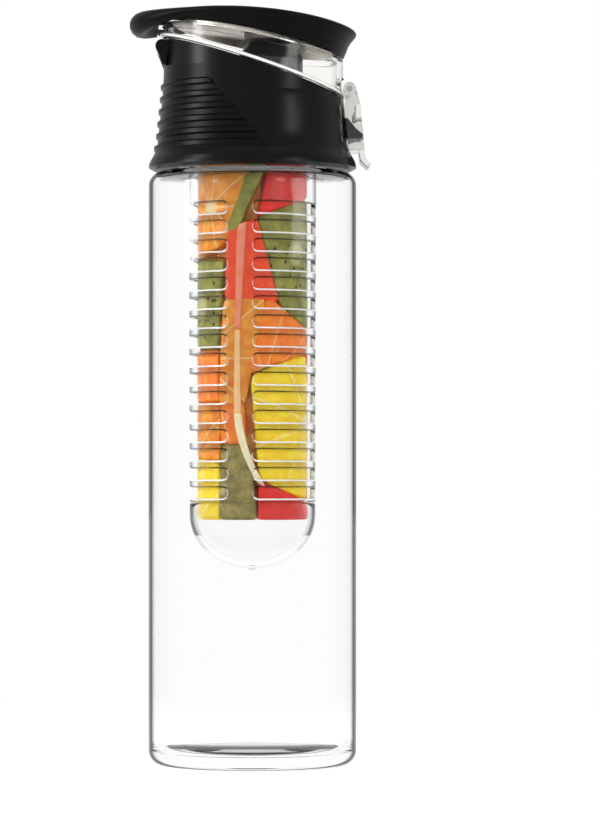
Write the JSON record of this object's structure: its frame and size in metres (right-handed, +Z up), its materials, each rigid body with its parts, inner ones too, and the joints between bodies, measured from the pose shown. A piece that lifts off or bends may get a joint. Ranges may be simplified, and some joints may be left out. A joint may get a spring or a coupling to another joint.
{
  "type": "fruit infuser water bottle",
  "caption": "Clear cylindrical drinking bottle with a hanging slotted fruit infuser basket, black screw lid, hinged clear flip cap with black cover and a front latch.",
  "frame": {"origin": "middle of the base, on the surface that the bottle stands on", "axes": "+Z up along the bottle, +X towards the latch, -X towards the cap hinge"},
  "size_m": [0.0838, 0.072, 0.2605],
  "materials": {
    "clear_shell": "clear, polished",
    "clear_basket": "clear, polished",
    "clear_cap": "clear, polished",
    "black_gloss": "satin moulded",
    "black_spout": "gloss moulded",
    "black_matte": "soft matte",
    "black_grip": "soft matte",
    "silicone": "soft satin",
    "steel": "ground"
  },
  "bodies": {
    "bottle": {"bottle_body": "clear_shell"},
    "lid_seat": {"lid_gasket": "silicone"},
    "lid": {"lid_collar": "black_gloss", "grip_sleeve": "black_grip", "lid_insert": "black_gloss", "drinking_spout": "black_spout", "vent_valve": "silicone", "infuser_seal": "silicone", "hinge_pin": "steel"},
    "flip": {"flip_cap": "clear_cap", "cap_cover": "black_matte", "spout_seal": "silicone", "latch_pin": "steel"},
    "clip": {"latch": "clear_cap"},
    "basket": {"infuser_basket": "clear_basket"},
    "basket_end": {"infuser_end_cap": "clear_basket"}
  },
  "joints": [
    {"name": "lid_lift", "type": "slide", "parent": "bottle", "child": "lid_seat", "axis": [0, 0, 1], "range_m": [0, 0.2]},
    {"name": "lid_turn", "type": "hinge", "parent": "lid_seat", "child": "lid", "pos_m": [0, 0, 0.215], "axis": [0, 0, 1], "range_deg": [0, 450]},
    {"name": "cap_hinge", "type": "hinge", "parent": "lid", "child": "flip", "pos_m": [-0.0312, 0, 0.248], "axis": [0, -1, 0], "range_deg": [0, 100]},
    {"name": "latch_pivot", "type": "hinge", "parent": "flip", "child": "clip", "pos_m": [0.0335, 0, 0.2336], "axis": [0, -1, 0], "range_deg": [0, 100]},
    {"name": "basket_release", "type": "slide", "parent": "lid", "child": "basket", "axis": [0, 0, -1], "range_m": [0, 0.03]},
    {"name": "basket_end_release", "type": "slide", "parent": "basket", "child": "basket_end", "axis": [0, 0, -1], "range_m": [0, 0.012]}
  ]
}
